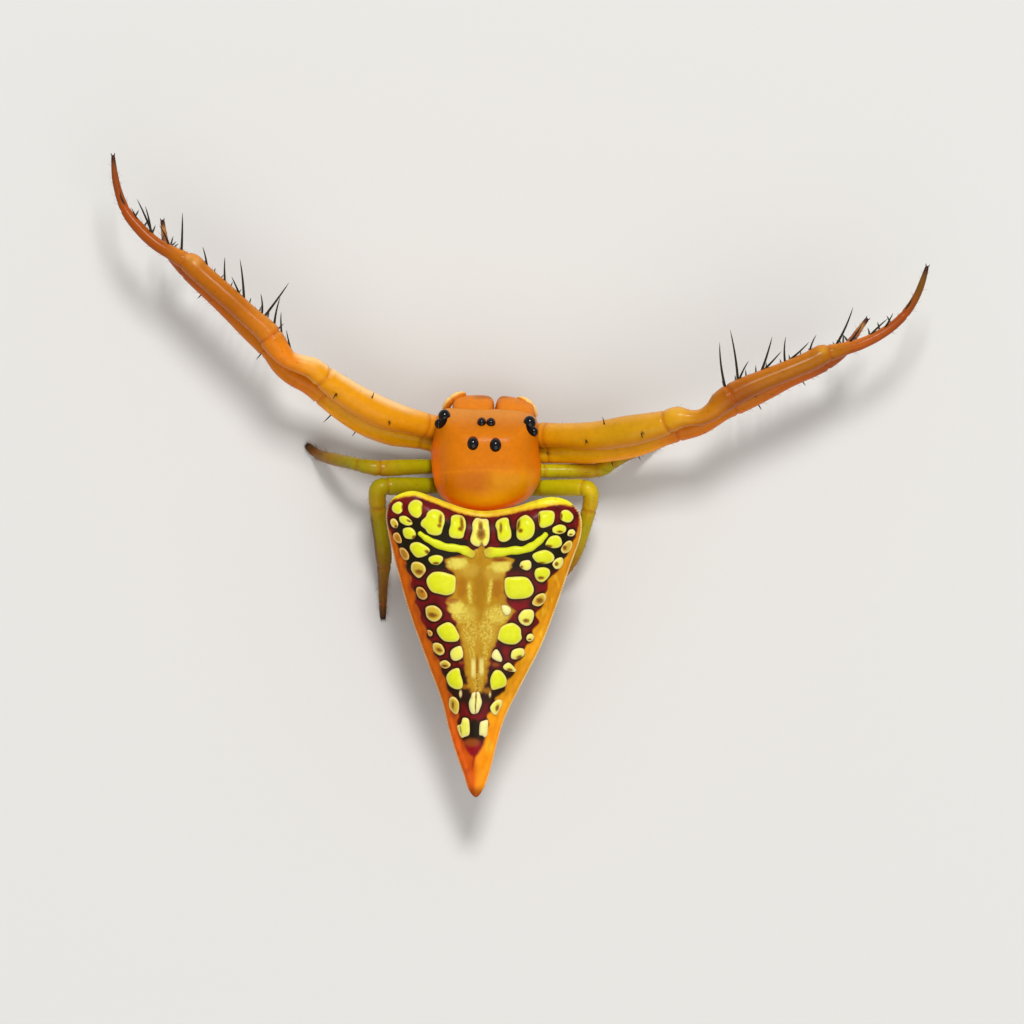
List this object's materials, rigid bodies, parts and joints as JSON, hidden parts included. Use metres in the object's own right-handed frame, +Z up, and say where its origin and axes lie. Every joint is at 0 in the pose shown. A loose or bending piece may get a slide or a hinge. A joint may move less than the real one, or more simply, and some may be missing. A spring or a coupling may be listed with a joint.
{
  "type": "spider model",
  "caption": "Still, life-size model of a triangular spider: raised yellow studs on a triangular abdomen, long spined front legs spread in ambush, short hind legs on the floor.",
  "frame": {"origin": "centre of the bounding box in plan, on the floor that the hind feet stand on", "axes": "+Z up, -Y the way the head points, +X the spider's left"},
  "size_m": [0.0184, 0.0144, 0.0034],
  "materials": {
    "orange_cuticle": "glossy amber orange, slightly see-through",
    "olive_cuticle": "glossy yellow olive, slightly see-through",
    "enamel": "maroon and gold with glossy raised yellow studs",
    "eye": "wet black",
    "fang": "dark brown, glossy"
  },
  "bodies": {
    "root": {"abdomen": "enamel", "carapace": "orange_cuticle", "chelicera_left": "orange_cuticle", "chelicera_right": "orange_cuticle", "eye_anterior_lateral_left": "eye", "eye_anterior_lateral_right": "eye", "eye_anterior_median_left": "eye", "eye_anterior_median_right": "eye", "eye_posterior_lateral_left": "eye", "eye_posterior_lateral_right": "eye", "eye_posterior_median_left": "eye", "eye_posterior_median_right": "eye", "fang_left": "fang", "fang_right": "fang", "labium": "orange_cuticle", "leg_1_left_coxa": "orange_cuticle", "leg_1_left_femur": "orange_cuticle", "leg_1_left_foot": "orange_cuticle", "leg_1_left_tibia": "orange_cuticle", "leg_1_right_coxa": "orange_cuticle", "leg_1_right_femur": "orange_cuticle", "leg_1_right_foot": "orange_cuticle", "leg_1_right_tibia": "orange_cuticle", "leg_2_left_coxa": "orange_cuticle", "leg_2_left_femur": "orange_cuticle", "leg_2_left_foot": "orange_cuticle", "leg_2_left_tibia": "orange_cuticle", "leg_2_right_coxa": "orange_cuticle", "leg_2_right_femur": "orange_cuticle", "leg_2_right_foot": "orange_cuticle", "leg_2_right_tibia": "orange_cuticle", "leg_3_left_coxa": "olive_cuticle", "leg_3_left_femur": "olive_cuticle", "leg_3_left_foot": "olive_cuticle", "leg_3_left_tibia": "olive_cuticle", "leg_3_right_coxa": "olive_cuticle", "leg_3_right_femur": "olive_cuticle", "leg_3_right_foot": "olive_cuticle", "leg_3_right_tibia": "olive_cuticle", "leg_4_left_coxa": "olive_cuticle", "leg_4_left_femur": "olive_cuticle", "leg_4_left_foot": "olive_cuticle", "leg_4_left_tibia": "olive_cuticle", "leg_4_right_coxa": "olive_cuticle", "leg_4_right_femur": "olive_cuticle", "leg_4_right_foot": "olive_cuticle", "leg_4_right_tibia": "olive_cuticle", "maxilla_left": "orange_cuticle", "maxilla_right": "orange_cuticle", "pedicel": "orange_cuticle", "pedipalp_left": "orange_cuticle", "pedipalp_right": "orange_cuticle", "spinnerets": "orange_cuticle", "sternum": "orange_cuticle"}
  },
  "joints": []
}
